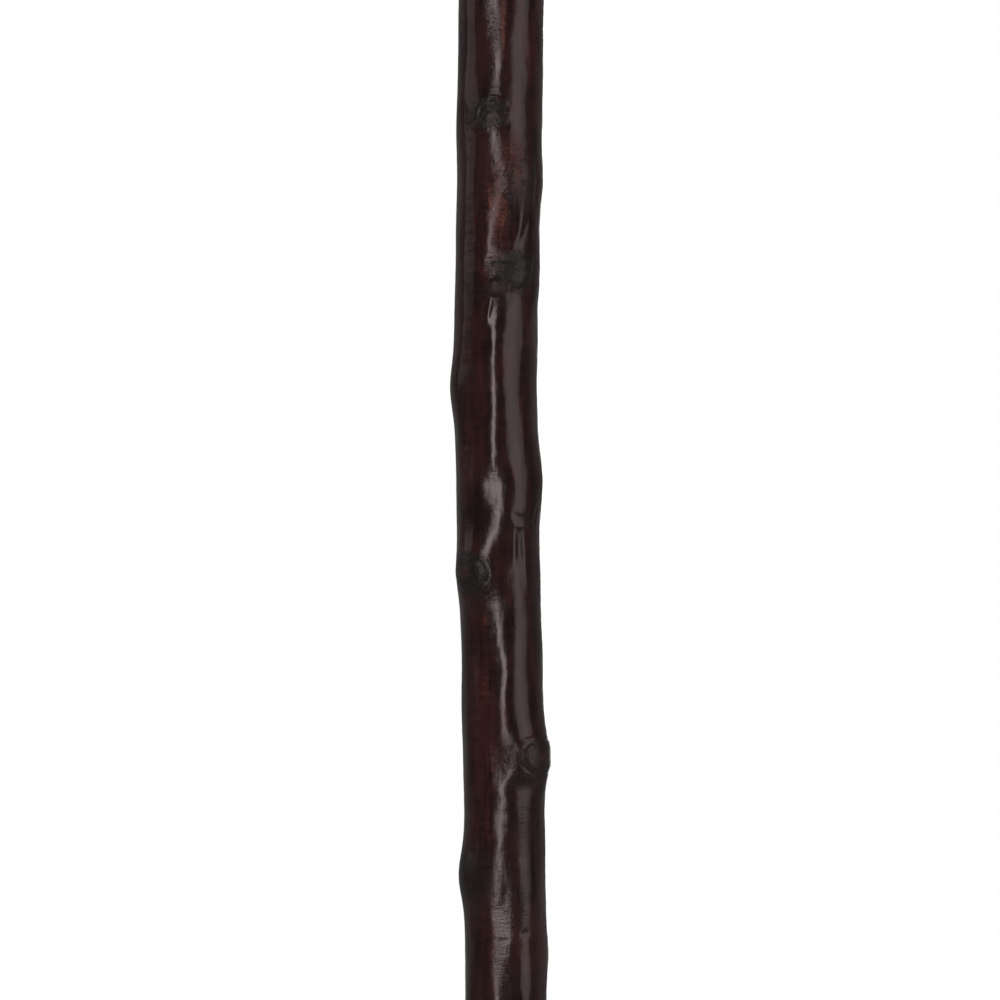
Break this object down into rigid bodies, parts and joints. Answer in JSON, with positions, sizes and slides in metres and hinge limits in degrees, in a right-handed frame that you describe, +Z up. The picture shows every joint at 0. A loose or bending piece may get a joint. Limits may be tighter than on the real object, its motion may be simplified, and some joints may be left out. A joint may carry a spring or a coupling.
{
  "type": "walking cane",
  "caption": "Walking cane with a curved derby grip on a knotty bark-on wooden shaft, joined by a metal collar and ending in a pull-off rubber foot.",
  "frame": {"origin": "centre of the ground face under the rubber foot", "axes": "+Z up the shaft to the grip, +X towards the grip's nose (its short end), -X towards the palm end; the pictured side of the bark faces -Y"},
  "size_m": [0.127, 0.035, 0.9139],
  "materials": {
    "stained_wood": "dark stained hardwood, polished",
    "polished_brass": "polished, lightly aged",
    "plated_steel": "zinc plated",
    "varnished_bark": "dark red-brown bark under thick gloss varnish",
    "black_rubber": "moulded, satin"
  },
  "bodies": {
    "cane": {"shaft": "varnished_bark", "grip": "stained_wood", "collar": "polished_brass", "joining_stud": "plated_steel"},
    "foot": {"rubber_foot": "black_rubber", "wear_washer": "plated_steel"}
  },
  "joints": [
    {"name": "foot_pull", "type": "slide", "parent": "cane", "child": "foot", "axis": [0, 0, -1], "range_m": [0, 0.05]}
  ]
}
